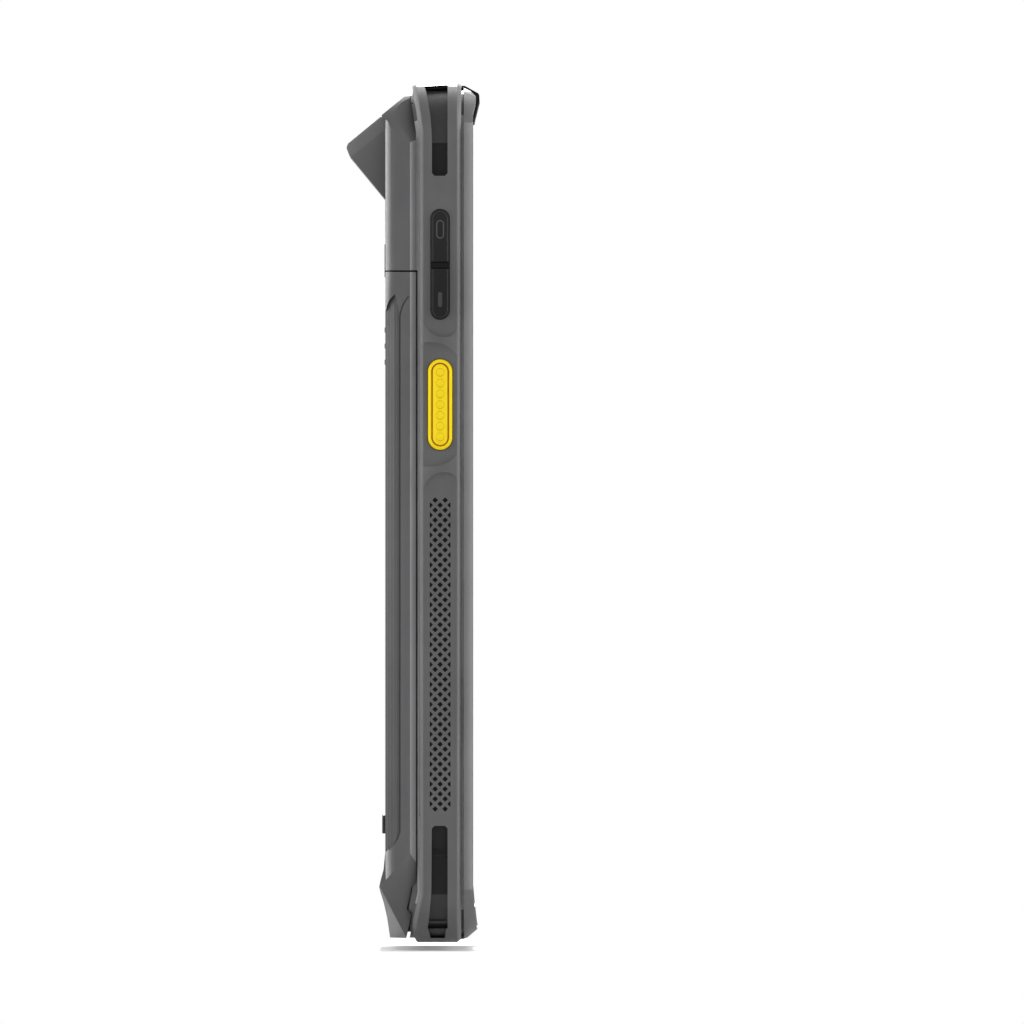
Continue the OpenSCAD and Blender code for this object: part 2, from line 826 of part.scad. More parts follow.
module display_panel() color([0.05, 0.06, 0.09]) through(web_front, web_front + display_t)
    outline(inner_y - display_in, display_low, body_len - display_end, display_r);

earpiece_w = 12;
earpiece_h = 1.2;
earpiece_t = 0.4;
module earpiece_space(x1) block(
    [front_depth, -earpiece_w / 2, body_len - trim_low + earpiece_h],
    [x1, earpiece_w / 2, body_len - trim_low + 2 * earpiece_h]);

module top_trim() color([0.07, 0.07, 0.08]) difference() {
    across(2 * trim_half) trim_section();
    earpiece_space(front_depth + over);
}

module earpiece_mesh() color([0.2, 0.2, 0.2])
    earpiece_space(front_depth + earpiece_t);

// Rear shell
// Space outside one corner plane that leaves the side at z along a crease
module corner_plane(z, turn, tilt) translate([-lip_x, shell_y, z]) rotate([0, turn, 0])
    rotate([tilt, 0, 0])
        translate([-body_w, 0, -over]) cube([2 * body_w, body_w, body_w]);

module edge_waste() difference() {
    translate([-back_depth - 2 * over, shell_y - edge_r])
        square([2 * over + edge_r, edge_r + over]);
    translate([-back_depth + edge_r, shell_y - edge_r]) circle(edge_r);
}

function crease_z(z, turn, x) = z - (x + lip_x) * tan(turn + 90 > 180 ? turn - 180 : turn);

module rear_body(r) difference() {
    intersection() {
        across(body_w) polygon(back_profile());
        slab(shell_y, shell_foot, shell_top, r, [
            [lip_in, -shell_x], [0, -lip_x], [0, -back_depth - 2 * over]
        ]);
    }
    shell_front();
    both() {
        corner_plane(body_len - top_crease - shell_drop, top_turn, top_tilt);
        corner_plane(foot_crease, foot_turn, foot_tilt);
        translate([-back_depth - bulge_out, shell_y, foot_edge_up])
            rotate([0, foot_edge_tilt, foot_edge_turn])
                translate([-body_w / 2, -body_w / 2, 0])
                    cube([body_w, body_w, body_w / 2]);
        intersection() {
            upward(0, body_len) edge_waste();
            across(2 * body_w) polygon([
                [-lip_x, foot_crease],
                [-back_depth - 2 * over, crease_z(foot_crease, foot_turn,
                    -back_depth - 2 * over)],
                [-back_depth - 2 * over, crease_z(body_len - top_crease - shell_drop,
                    top_turn, -back_depth - 2 * over)],
                [-lip_x, body_len - top_crease - shell_drop]
            ]);
        }
    }
}

// Rear housing and nose
nose_in = [nose_x, 0, nose_z];
bezel_deep = 2.3;
bezel_lean = 1;
tip = [0.4, 0.32];
tip_low = [0.92, 1.87];
hood_wall = 1.2;
hood_far = nose_face + tip_low[0];
hood_deep = (flare_out + hood_far * cos(nose_tilt)) / sin(nose_tilt);
window_t = 1;
window_proud = 0.15;
window_edge = 0.15;
window_side = 1.2;

// Point of the nose, u along the window's face and d below it
function nose_point(u, d) = [
    nose_x - u * cos(nose_tilt) + d * sin(nose_tilt),
    nose_z - u * sin(nose_tilt) - d * cos(nose_tilt)
];

// Local frame of the nose: -X down the window's face, +Z out of it
module on_nose() translate(nose_in) rotate([0, -nose_tilt, 0]) children();

module hood_outline() polygon([
    [nose_x, nose_z], nose_point(nose_face, 0),
    nose_point(nose_face + tip[0], tip[1]), nose_point(hood_far, tip_low[1]),
    nose_point(hood_far, hood_deep), [-back_depth, nose_z - flare_len],
    [-(back_depth + 0.28 * flare_out), nose_z - flare_len / 2]
]);

module window_space(z0, z1) on_nose() block(
    [-nose_face + window_edge, -nose_w / 2 + window_side, z0],
    [-window_edge, nose_w / 2 - window_side, z1]);

// Passage from the window through the hood into the rear housing
passage_half = 12;
module passage() on_nose() block(
    [-hood_far + hood_wall, -passage_half, -hood_deep * 1.6],
    [-2 * hood_wall, passage_half, -window_t]);

module nose_hood() color([0.35, 0.35, 0.36]) difference() {
    intersection() {
        across(nose_w) hood_outline();
        on_nose() rotate([90, 0, 90])
            linear_extrude(4 * nose_w, center = true) polygon([
                [-nose_w / 2 + bezel_lean, 0], [nose_w / 2 - bezel_lean, 0],
                [nose_w / 2, -bezel_deep], [nose_w / 2, -nose_w],
                [-nose_w / 2, -nose_w], [-nose_w / 2, -bezel_deep]
            ]);
    }
    window_space(-window_t, over);
    intersection() {
        passage();
        across(nose_w) hood_outline();
    }
}

module scan_window() color([0.05, 0.03, 0.04]) window_space(-window_t, window_proud);

engine_half = 9;
engine_deep = 5.5;
module scan_engine() color([0.15, 0.16, 0.18]) {
    on_nose() block([-hood_far + hood_wall, -engine_half, -window_t - engine_deep],
        [-3 * hood_wall, engine_half, -window_t - wall]);
    on_nose() for (s = [-0.5, 0.3]) translate([-hood_far / 2 - hood_wall / 2,
        s * engine_half, -window_t - wall]) cylinder(h = wall / 2, r = wall);
}

island_half = 6.4;
island_len = 18;
island_drop = 20;
island_z = body_len - island_drop;
island_side = 0.17;
island_proud = 0.28;
island_y = shell_y - island_half - island_side;
lens_r = 3.7;
lens_up = 4;
flash_r = 1.6;
flash_down = 5;
glass_sink = 0.25;

module island_outline() translate([island_y, 0]) {
    translate([-island_half, island_z - island_len / 2 + island_half])
        square([2 * island_half, island_len - 2 * island_half]);
    for (s = [-1, 1]) translate([0, island_z + s * (island_len / 2 - island_half)])
        circle(island_half);
}

module at_lens(x, up) translate([x, island_y, island_z + up]) rotate([0, 90, 0]) children();

module camera_island() color([0.3, 0.3, 0.31]) difference() {
    through(-back_depth - island_proud, -back_depth + wall) island_outline();
    at_lens(-back_depth - over, lens_up) cylinder(h = 2 * over + wall, r = lens_r);
    at_lens(-back_depth - over, -flash_down) cylinder(h = 2 * over + wall, r = flash_r);
}

module camera_glass() color([0.04, 0.05, 0.07])
    at_lens(-back_depth - island_proud + glass_sink, lens_up)
        cylinder(h = wall / 2, r = lens_r);

module flash_lens() color([0.95, 0.93, 0.8])
    at_lens(-back_depth - island_proud + glass_sink, -flash_down)
        cylinder(h = wall / 2, r = flash_r);

module camera_module() color([0.1, 0.1, 0.11]) {
    at_lens(-back_depth - island_proud + glass_sink + wall / 2, lens_up)
        cylinder(h = wall, r = lens_r - wall / 2);
    block([-back_depth + wall, island_y - lens_r, island_z + lens_up - lens_r],
        [-board_x, inner_y - wall - gap, island_z + lens_up + lens_r]);
}

// Cavities of the rear housing, open towards the front
cavity_y = shell_y - wall - 0.3 * wall;
cavity_drop = 12;
cavity_side = 10.87;
cavity_step = body_len - cavity_drop;
cavity_top_half = shell_y - cavity_side;
seam_top = seam_z + swing_gap / 2;
seam_low = seam_z - swing_gap / 2;
slope_in = wall / cos(nose_tilt);

module cavity() {
    block([-back_depth + wall, -cavity_y, seam_top + wall],
        [0, cavity_y, cavity_step]);
    across(2 * cavity_top_half) polygon([
        [-back_depth + wall, cavity_step - over],
        [-back_depth + wall, shell_top - slope_in
            + (shoulder_x * -1 - back_depth + wall) * tan(nose_tilt)],
        [shoulder_x, shell_top - slope_in], [0, shell_top - slope_in],
        [0, cavity_step - over]
    ]);
}

latch_half = 7;
latch_t = 1.3;
latch_proud = 0.26;
latch_low = 0.9;
latch_len = 6.2;
latch_travel = 2.6;

module latch_space() block(
    [-back_depth - over, -latch_half - swing_gap, seam_low - over],
    [-back_depth + latch_t - latch_proud + swing_gap, latch_half + swing_gap,
        seam_z - latch_low + latch_len + latch_travel + swing_gap]);

module rear_housing() color([0.38, 0.38, 0.39]) difference() {
    union() {
        difference() {
            intersection() {
                rear_body(corner_r);
                block([-2 * back_depth, -body_w, seam_top], [0, body_w, body_len]);
            }
            cavity();
            passage();
            window_space(-window_t, over);
            through(-back_depth - over, -back_depth + wall) island_outline();
        }
        difference() {
            intersection() {
                flared() through(-shell_x, -core_x)
                    outline(side_y - groove_in, groove_in, body_len - groove_in,
                        corner_r - groove_in);
                block([-back_depth, -body_w, seam_top], [0, body_w, body_len]);
            }
            cavity();
            block([-2 * shell_x, -inner_y, 0], [0, inner_y, body_len - end_wall]);
        }
        block([-back_depth + wall / 2, -inner_y, seam_top],
            [-floor_x, inner_y, seam_top + wall]);
        through(-floor_x - floor_t, -floor_x)
            outline(inner_y, end_wall, body_len - end_wall, inner_r);
    }
    latch_space();
    block([-floor_x - floor_t - over, -cavity_top_half, seam_top + 2 * wall],
        [0, cavity_top_half, body_len - 2 * end_wall]);
    block([-floor_x - floor_t - over, cavity_top_half - over, seam_top + 2 * wall],
        [0, inner_y - wall, body_len - 2 * end_wall]);
    contact_space();
    at_screws() cylinder(h = floor_x + over, r = screw_r + slip);
    at_screws() translate([0, 0, floor_x + floor_t - screw_head_t])
        cylinder(h = over, r = screw_head_r + slip);
}

module housing_screws() color([0.6, 0.6, 0.62]) at_screws() {
    translate([0, 0, floor_x + floor_t - screw_head_t])
        cylinder(h = screw_head_t, r = screw_head_r);
    translate([0, 0, floor_x + floor_t - screw_len])
        cylinder(h = screw_len, r = screw_r);
}

// Boards
board_x = 1.9;
board_thick = 0.8;
board_half = inner_y - 2 * boss_r - boss_in / 2;
board_low = 9;
board_drop = 14;
board_top = body_len - board_drop;
contact_half = 5;
contact_h = 5;
contact_drop = 8;
contact_z = seam_z - contact_drop;

module contact_space() block(
    [-core_x, -contact_half, contact_z - contact_h / 2],
    [-board_x, contact_half, contact_z + contact_h / 2]);

module main_board() color([0.05, 0.3, 0.15])
    block([-board_x, -board_half, board_low], [-board_x + board_thick, board_half, board_top]);

module shield_cans() color([0.7, 0.71, 0.72]) for (s = [0.22, 0.5])
    block([-floor_x, -0.75 * board_half, s * body_len - 0.1 * body_len],
        [-board_x, 0.75 * board_half, s * body_len + 0.1 * body_len]);

module contact_block() color([0.12, 0.12, 0.13]) contact_space();

card_drop = 22;
card_len = 7;
module card_socket() color([0.7, 0.71, 0.72])
    block([-board_x - board_thick, -0.3 * board_half, body_len - card_drop],
        [-board_x, 0.25 * board_half, body_len - card_drop + card_len]);

speaker_w = 14;
speaker_h = 7;
speaker_t = 3;
module loudspeaker() color([0.1, 0.1, 0.1])
    block([web_front, speaker_y - speaker_w / 2, end_wall],
        [web_front + speaker_t, speaker_y + speaker_w / 2, end_wall + speaker_h]);

motor_r = 4;
motor_t = 2.4;
module vibration_motor() color([0.7, 0.71, 0.72])
    translate([-web_back - motor_t, -0.6 * inner_y, body_len - end_wall - motor_r - wall])
        rotate([0, 90, 0]) cylinder(h = motor_t, r = motor_r);

// Battery
module battery_latch() color([0.09, 0.09, 0.1]) {
    block([-back_depth - latch_proud, -latch_half, seam_z - latch_low],
        [-back_depth + swing_gap, latch_half, seam_z - latch_low + latch_len]);
    block([-back_depth + swing_gap, -latch_half, seam_top + swing_gap],
        [-back_depth - latch_proud + latch_t, latch_half,
            seam_z - latch_low + latch_len]);
}

// Outline of a side grip, in X and Z
grip_low = 17;
grip_drop = 4.3;
grip_top = seam_z - grip_drop;
grip_x = 7.62;
grip_lead = 1.6;
grip_in = 4.2;
grip_depth = back_depth - grip_x;
// Ends of the grip: shares of its depth, and rises above its low or drops below
// its top
grip_foot_shares = [0, 0.16, 0.35, 0.91, 1.9];
grip_foot_rises = [3.65, 2.4, 1.6, 0, -1.5];
grip_head_shares = [1.9, 1, 0.96, 0.83, 0.68, 0.49, 0.29, 0.14, 0];
grip_head_drops = [8, 3, 3, 1.8, 1, 0.4, 0, 1.7, 3.3];

function grip_point(share, z) = [-grip_x - share * grip_depth, z];

module grip_outline() polygon(concat(
    [for (i = [0:len(grip_foot_shares) - 1])
        grip_point(grip_foot_shares[i], grip_low + grip_foot_rises[i])],
    [for (i = [0:len(grip_head_shares) - 1])
        grip_point(grip_head_shares[i], grip_top - grip_head_drops[i])]
));

// Groove along the grip's front edge: it runs on past the grip's top corner
line_w = 0.28;
line_deep = 0.45;
line_shares = [-0.63, -0.5, -0.4, -0.26, -0.16, -0.09, -0.04, 0];
line_drops = [0.4, 0.85, 1.2, 1.8, 2.4, 2.95, 3.5, 4.4];

module line_outline(w) polygon(concat(
    [for (i = [0:len(line_shares) - 1])
        grip_point(line_shares[i], grip_top - line_drops[i])],
    [for (i = [0:len(grip_foot_shares) - 1])
        grip_point(grip_foot_shares[i], grip_low + grip_foot_rises[i])],
    [for (i = [len(grip_foot_shares) - 1:-1:0])
        grip_point(grip_foot_shares[i], grip_low + grip_foot_rises[i]) + [w, 0]
            - [0, i < 2 ? 0 : w / 2]],
    [for (i = [len(line_shares) - 1:-1:0])
        grip_point(line_shares[i], grip_top - line_drops[i]) + [w, 0]]
));

module grip_line() sideways(shell_y - line_deep, shell_y + over) line_outline(line_w);

// Terraces of the grip: shares of its depth, and of its drop to the back, at the
// start and the end of each tread
stair_x_shares = [0.19, 0.37, 0.62, 0.83, 1];
tread_shares = [[0.02, 0.06], [0.12, 0.17], [0.26, 0.34], [0.46, 0.54], [0.7, 0.79]];
stair_drop = 2.4;

module stair_section() polygon(concat(
    [[-back_depth, shell_y - grip_in], [-grip_x + grip_lead, shell_y - grip_in],
     [-grip_x + grip_lead, shell_y - tread_shares[0][0] * stair_drop]],
    [for (i = [0:len(stair_x_shares) - 1], k = [0, 1])
        [-grip_x - (k == 1 ? stair_x_shares[i] : i == 0 ? 0 : stair_x_shares[i - 1])
            * grip_depth, shell_y - tread_shares[i][k] * stair_drop]]
));

module grip() color([0.3, 0.3, 0.31]) intersection() {
    sideways(shell_y - grip_in, shell_y + over) grip_outline();
    upward(0, seam_z) stair_section();
}

module left_grip() left() grip();
module right_grip() grip();

bar_t = 0.86;
bar_proud = 0.2;
bar_half = 20;
bar_drop = 10.8;
bar_top = seam_z - bar_drop;
// Relief over the foot of the frame's rib, which the battery swings across
relief_x = 6.85;
relief_y = 32;
relief_z = 5.6;
foot_tab_y = 20;
foot_tab_w = 8;
foot_tab_x = 3.3;
foot_tab_z = 1.9;
foot_tab_h = 0.8;
cell_side = 4.67;
cell_half = shell_y - grip_in - cell_side;
cell_low = 7;
cell_drop = 7;
cell_top = seam_z - cell_drop;
cell_front = 5.6;
cell_wall = 0.9;
cell_back = back_depth - cell_wall;
pad_half = 10;
pad_t = 0.7;
pad_low = 20;
pad_h = 3.5;
pin_pitch = 2.2;
pin_w = 1.3;
pin_t = 0.3;

module cell_space() block([-cell_back, -cell_half, cell_low],
    [-cell_front, cell_half, cell_top]);

module contact_pads() for (i = [-1.5:1.5])
    block([-shell_x - pin_t, i * pin_pitch - pin_w / 2, contact_z - pin_w],
        [-shell_x, i * pin_pitch + pin_w / 2, contact_z + pin_w]);

module battery_case() color([0.38, 0.38, 0.39]) {
    difference() {
        intersection() {
            rear_body(foot_corner_r);
            block([-2 * back_depth, -body_w, 0], [0, body_w, seam_low]);
        }
        both() sideways(shell_y - grip_in, shell_y + over) grip_outline();
        both() grip_line();
        flared() seal_rib(swing_gap);
        both() block([-relief_x, rib_y - 2 * swing_gap, rib_in + rib_t],
            [-shell_x + over, relief_y, relief_z]);
        cell_space();
        contact_pads();
        block([-back_depth - over, -latch_half - swing_gap,
            seam_z - latch_low - swing_gap], [0, latch_half + swing_gap, body_len]);
    }
    for (i = [0:bar_count - 1])
        block([-back_depth - bar_proud, -bar_half, bar_top - i * bar_pitch - bar_t / 2],
            [-back_depth, bar_half, bar_top - i * bar_pitch + bar_t / 2]);
    both() block([-shell_x - over, foot_tab_y - foot_tab_w / 2, foot_tab_z],
        [-foot_tab_x, foot_tab_y + foot_tab_w / 2, foot_tab_z + foot_tab_h]);
}

module battery_cell() color([0.2, 0.25, 0.4]) cell_space();
module battery_contacts() color([0.85, 0.7, 0.3]) contact_pads();

module rear_pad() color([0.07, 0.07, 0.08])
    through(-back_depth - pad_t, -back_depth)
        outline(pad_half, pad_low, pad_low + pad_h, pad_h / 4);

mid_frame();
front_housing();
cover_glass();
display_panel();
top_trim();
earpiece_mesh();
rear_housing();
nose_hood();
scan_window();
scan_engine();
camera_island();
camera_glass();
flash_lens();
camera_module();
main_board();
shield_cans();
contact_block();
card_socket();
usb_socket();
loudspeaker();
vibration_motor();
left_grille();
right_grille();
volume_bridge();
power_bezel();
left_key_board();
right_key_board();
strap_bars();
housing_screws();
volume_up_key();
volume_down_key();
left_scan_key();
right_scan_key();
power_key();
battery_latch();
battery_case();
battery_cell();
battery_contacts();
left_grip();
right_grip();
rear_pad();
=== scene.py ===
"""Looks of a portable barcode data terminal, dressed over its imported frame.

Lengths in the classes are in millimetres and are turned to metres by MM.
"""

import logging
import math
from dataclasses import dataclass, field
from enum import Enum

import bmesh
import bpy
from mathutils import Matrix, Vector

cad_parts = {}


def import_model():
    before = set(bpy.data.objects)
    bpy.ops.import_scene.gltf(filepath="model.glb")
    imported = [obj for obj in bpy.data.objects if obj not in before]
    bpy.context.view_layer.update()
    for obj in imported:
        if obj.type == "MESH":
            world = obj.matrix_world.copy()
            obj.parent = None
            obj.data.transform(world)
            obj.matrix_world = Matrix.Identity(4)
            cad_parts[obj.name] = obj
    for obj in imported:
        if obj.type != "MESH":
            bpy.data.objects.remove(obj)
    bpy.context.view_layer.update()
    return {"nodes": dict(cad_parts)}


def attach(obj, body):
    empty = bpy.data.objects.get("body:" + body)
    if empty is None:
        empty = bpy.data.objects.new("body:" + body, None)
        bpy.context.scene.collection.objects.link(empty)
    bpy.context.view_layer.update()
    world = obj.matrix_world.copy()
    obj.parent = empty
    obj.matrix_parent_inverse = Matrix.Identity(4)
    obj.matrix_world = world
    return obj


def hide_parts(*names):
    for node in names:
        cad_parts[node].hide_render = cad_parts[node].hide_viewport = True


LOG = logging.getLogger("terminal")
MM = 0.001
WHITE = 255.0
Colour = tuple[float, float, float, float]

# Patterns of the finishes: cells in a metre, depths in metres, spreads as shares.
CLOUD_CELLS = 90.0
SPECK_CELLS = 2600.0
GRAIN_CELLS = 5200.0
SMEAR_CELLS = 40.0
STREAK_CELLS = 900.0
RAMP_STOPS = (0.3, 0.7)
GRAIN_DEPTH = 0.00002
GRAIN_ROUGH = 0.6
ROUGH_SPREAD = 0.05
SMEAR_SPREAD = 0.03
STREAK_SHADE = 0.85
GLASS_IOR = 1.5
COAT_ROUGHNESS = 0.02

# Edge work: points nearer than MERGE_GAP metres are one, angles in radians.
MERGE_GAP = 2e-6
FLAT_ANGLE = math.radians(0.6)
FORM_SMOOTH = math.radians(32)
MARK_SMOOTH = math.radians(40)
MARK_EDGE_SHARE = 0.6
MARK_EDGE_STEPS = 2
ANY_TURN = (0.0, 1.01)


class Side(Enum):
    """The two long sides of the terminal, by the sign of Y."""

    LEFT = -1
    RIGHT = 1


def linear(value: float) -> float:
    """Turn one sRGB channel into a linear one.

    Args:
        value: Channel from 0 to 1 as a screen shows it.

    Returns:
        The same channel in linear light.
    """
    return value / 12.92 if value <= 0.04045 else ((value + 0.055) / 1.055) ** 2.4


def shade(red: float, green: float, blue: float) -> Colour:
    """Make a shader colour from 8-bit screen values.

    Args:
        red: Red from 0 to 255.
        green: Green from 0 to 255.
        blue: Blue from 0 to 255.

    Returns:
        Linear RGBA with full alpha.
    """
    return (linear(red / WHITE), linear(green / WHITE), linear(blue / WHITE), 1.0)


class NodeSheet:
    """A material's node tree with short calls for the nodes used here."""

    def __init__(self, name: str) -> None:
        """Start a material with only an output node."""
        self.material = bpy.data.materials.new(name)
        self.material.use_nodes = True
        self.tree = self.material.node_tree
        self.tree.nodes.clear()
        self.out = self.add("ShaderNodeOutputMaterial")

    def add(self, kind: str, **inputs: object) -> bpy.types.Node:
        """Add a node and set its sockets by name.

        Args:
            kind: Blender's class name of the node.
            **inputs: Socket values, with underscores for spaces.

        Returns:
            The new node.
        """
        node = self.tree.nodes.new(kind)
        for key, value in inputs.items():
            node.inputs[key.replace("_", " ")].default_value = value
        return node

    def link(self, source: bpy.types.NodeSocket, target: bpy.types.NodeSocket) -> None:
        """Join two sockets."""
        self.tree.links.new(source, target)

    def place(self) -> bpy.types.NodeSocket:
        """Return the Object coordinates socket."""
        return self.add("ShaderNodeTexCoord").outputs["Object"]

    def noise(self, scale: float, detail: float, rough: float = 0.5) -> bpy.types.Node:
        """Add a noise texture on Object coordinates.

        Args:
            scale: Cells in a metre.
            detail: Octaves.
            rough: Share that each octave adds.

        Returns:
            The noise node.
        """
        node = self.add("ShaderNodeTexNoise", Scale=scale, Detail=detail, Roughness=rough)
        self.link(self.place(), node.inputs["Vector"])
        return node

    def ramp(
        self, source: bpy.types.NodeSocket, low: float, high: float, first: Colour, last: Colour
    ) -> bpy.types.NodeSocket:
        """Colour a value between two stops.

        Args:
            source: The value.
            low: Place of the first stop.
            high: Place of the last stop.
            first: Colour at and below the first stop.
            last: Colour at and above the last stop.

        Returns:
            The colour socket.
        """
        node = self.add("ShaderNodeValToRGB")
        node.color_ramp.elements[0].position = low
        node.color_ramp.elements[0].color = first
        node.color_ramp.elements[1].position = high
        node.color_ramp.elements[1].color = last
        self.link(source, node.inputs["Fac"])
        return node.outputs["Color"]


@dataclass(frozen=True)
class MouldedPlastic:
    """Satin moulded plastic or rubber: fine grain, a cloudy tone and a speckled gloss."""

    name: str
    tone: tuple[float, float, float]
    roughness: float = 0.45
    grain: float = 0.25
    specular: float = 0.5
    cloud: float = 0.06
    ior: float = 1.5

    def build(self) -> bpy.types.Material:
        """Make the material.

        Returns:
            A node material on Object coordinates.
        """
        sheet = NodeSheet(self.name)
        body = sheet.add("ShaderNodeBsdfPrincipled")
        body.inputs["Specular IOR Level"].default_value = self.specular
        body.inputs["IOR"].default_value = self.ior
        cloud = sheet.noise(CLOUD_CELLS, 3.0)
        dark = tuple(c * (1 - self.cloud) for c in self.tone)
        light = tuple(min(WHITE, c * (1 + self.cloud)) for c in self.tone)
        sheet.link(
            sheet.ramp(cloud.outputs["Fac"], *RAMP_STOPS, shade(*dark), shade(*light)),
            body.inputs["Base Color"],
        )
        rough_map = sheet.add("ShaderNodeMapRange")
        rough_map.inputs["To Min"].default_value = self.roughness - ROUGH_SPREAD
        rough_map.inputs["To Max"].default_value = self.roughness + ROUGH_SPREAD
        speck = sheet.noise(SPECK_CELLS, 2.0)
        sheet.link(speck.outputs["Fac"], rough_map.inputs["Value"])
        sheet.link(rough_map.outputs["Result"], body.inputs["Roughness"])
        bump = sheet.add("ShaderNodeBump", Strength=self.grain, Distance=GRAIN_DEPTH)
        fine = sheet.noise(GRAIN_CELLS, 3.0, GRAIN_ROUGH)
        sheet.link(fine.outputs["Fac"], bump.inputs["Height"])
        sheet.link(bump.outputs["Normal"], body.inputs["Normal"])
        sheet.link(body.outputs["BSDF"], sheet.out.inputs["Surface"])
        return sheet.material


@dataclass(frozen=True)
class TintedGlass:
    """Dark polished glass with a faint smear in its gloss."""

    name: str
    tone: tuple[float, float, float]
    roughness: float = 0.04

    def build(self) -> bpy.types.Material:
        """Make the material.

        Returns:
            A node material on Object coordinates.
        """
        sheet = NodeSheet(self.name)
        body = sheet.add("ShaderNodeBsdfPrincipled")
        body.inputs["Base Color"].default_value = shade(*self.tone)
        body.inputs["IOR"].default_value = GLASS_IOR
        body.inputs["Coat Weight"].default_value = 1.0
        body.inputs["Coat Roughness"].default_value = COAT_ROUGHNESS
        smear = sheet.noise(SMEAR_CELLS, 2.0)
        span = sheet.add("ShaderNodeMapRange")
        span.inputs["To Min"].default_value = self.roughness
        span.inputs["To Max"].default_value = self.roughness + SMEAR_SPREAD
        sheet.link(smear.outputs["Fac"], span.inputs["Value"])
        sheet.link(span.outputs["Result"], body.inputs["Roughness"])
        sheet.link(body.outputs["BSDF"], sheet.out.inputs["Surface"])
        return sheet.material


@dataclass(frozen=True)
class PlainMetal:
    """Brushed or plated metal with fine streaks."""

    name: str
    tone: tuple[float, float, float]
    roughness: float = 0.35

    def build(self) -> bpy.types.Material:
        """Make the material.

        Returns:
            A node material on Object coordinates.
        """
        sheet = NodeSheet(self.name)
        body = sheet.add("ShaderNodeBsdfPrincipled")
        body.inputs["Metallic"].default_value = 1.0
        streak = sheet.noise(STREAK_CELLS, 2.0)
        dim = tuple(c * STREAK_SHADE for c in self.tone)
        sheet.link(
            sheet.ramp(streak.outputs["Fac"], *RAMP_STOPS, shade(*dim), shade(*self.tone)),
            body.inputs["Base Color"],
        )
        body.inputs["Roughness"].default_value = self.roughness
        sheet.link(body.outputs["BSDF"], sheet.out.inputs["Surface"])
        return sheet.material


class Finish(Enum):
    """Every finish of the terminal, made once when first asked for; some are painted shade and
    painted light.
    """

    FRAME = MouldedPlastic("look_frame_plastic", (84, 84, 85))
    FRONT = MouldedPlastic("look_front_plastic", (82, 82, 83))
    REAR = MouldedPlastic("look_rear_plastic", (84, 84, 85))
    GRIP = MouldedPlastic("look_grip_rubber", (69, 69, 70), roughness=0.6)
    # painted light: the groove floors get a far lighter grey to cancel the shade that falls in the
    # narrow grooves
    GROOVE = MouldedPlastic("look_groove_painted_light", (172, 172, 174), roughness=0.6)
    # painted shade: the strap slots are darkened, the deep part most and the end parts a little
    # less
    RECESS = MouldedPlastic("look_recess_painted_shade", (37, 37, 38), 0.6, specular=0.15)
    RECESS_END = MouldedPlastic("look_recess_end_painted_shade", (51, 51, 52), 0.5, specular=0.3)
    GRILLE = MouldedPlastic("look_grille_rubber", (42, 42, 43), 0.7, specular=0.3, ior=1.15)
    # painted shade on the walls of the diamond holes in the frame; the same near-black is also the
    # own colour of the camera island and the battery latch
    PIT = MouldedPlastic("look_pit_shade_and_dark_plastic", (13, 13, 15), 0.8, specular=0.3, ior=1.1)
    # painted shade: the walls of the key pockets are made dark navy, the shade of the narrow gap
    # round each key
    POCKET = MouldedPlastic("look_pocket_painted_shade", (10, 11, 17), 0.8, specular=0.3, ior=1.1)
    BLACK = MouldedPlastic("look_black_plastic", (29, 29, 29), 0.55, specular=0.3, ior=1.15)
    KEY = MouldedPlastic("look_key_plastic", (40, 40, 41), 0.5, specular=0.4, ior=1.15)
    # painted highlight: the tilted edge faces round each black key are lighter all round, as if
    # lit
    KEY_EDGE = MouldedPlastic("look_key_edge_painted_highlight", (69, 69, 70), 0.45, specular=0.3, ior=1.3)
    MARK = MouldedPlastic("look_key_mark", (76, 76, 78), 0.5, specular=0.3, ior=1.2)
    PAD = MouldedPlastic("look_pad_rubber", (18, 18, 19), roughness=0.6)
    SCAN = MouldedPlastic("look_scan_key_plastic", (255, 226, 12), 0.45, 0.1, 0.25, 0.01)
    RING = MouldedPlastic("look_ring_orange", (196, 112, 28), 0.5, 0.1, 0.2, 0.02)
    BOARD = MouldedPlastic("look_board_mask", (30, 90, 55), 0.4)
    CELL = MouldedPlastic("look_cell_wrap", (60, 75, 120), 0.4)
    # painted light: a lighter copy of the shell grey for the shell's tilted front facet, which the
    # lamps leave in shade
    FACET = MouldedPlastic("look_facet_painted_light", (138, 138, 140), 0.5)
    FLASH = MouldedPlastic("look_flash_plastic", (235, 230, 205), 0.3)
    GLASS = TintedGlass("look_cover_glass", (16, 17, 19))
    WINDOW = TintedGlass("look_window_glass", (34, 10, 12))
    LENS = TintedGlass("look_lens_glass", (14, 18, 24))
    SCREEN = TintedGlass("look_display_black", (12, 12, 15))
    SHIELD = PlainMetal("look_shield_metal", (190, 191, 193))
    GOLD = PlainMetal("look_contact_gold", (215, 180, 105), 0.25)
    MESH = PlainMetal("look_mesh_metal", (80, 80, 82), 0.5)

    def material(self) -> bpy.types.Material:
        """Return this finish's material, made on first use."""
        found = bpy.data.materials.get(self.value.name)
        return found if found else self.value.build()


def lone(obj: bpy.types.Object) -> bpy.types.Object:
    """Select one object alone and make it active.

    Args:
        obj: The object.

    Returns:
        The same object.
    """
    for other in bpy.context.selected_objects:
        other.select_set(False)
    obj.select_set(True)
    bpy.context.view_layer.objects.active = obj
    return obj


def dress(obj: bpy.types.Object, finish: Finish) -> None:
    """Give a piece one finish all over.

    Args:
        obj: The piece or CAD node.
        finish: The finish.
    """
    if obj.material_slots:
        for slot in obj.material_slots:
            slot.material = finish.material()
    else:
        obj.data.materials.append(finish.material())


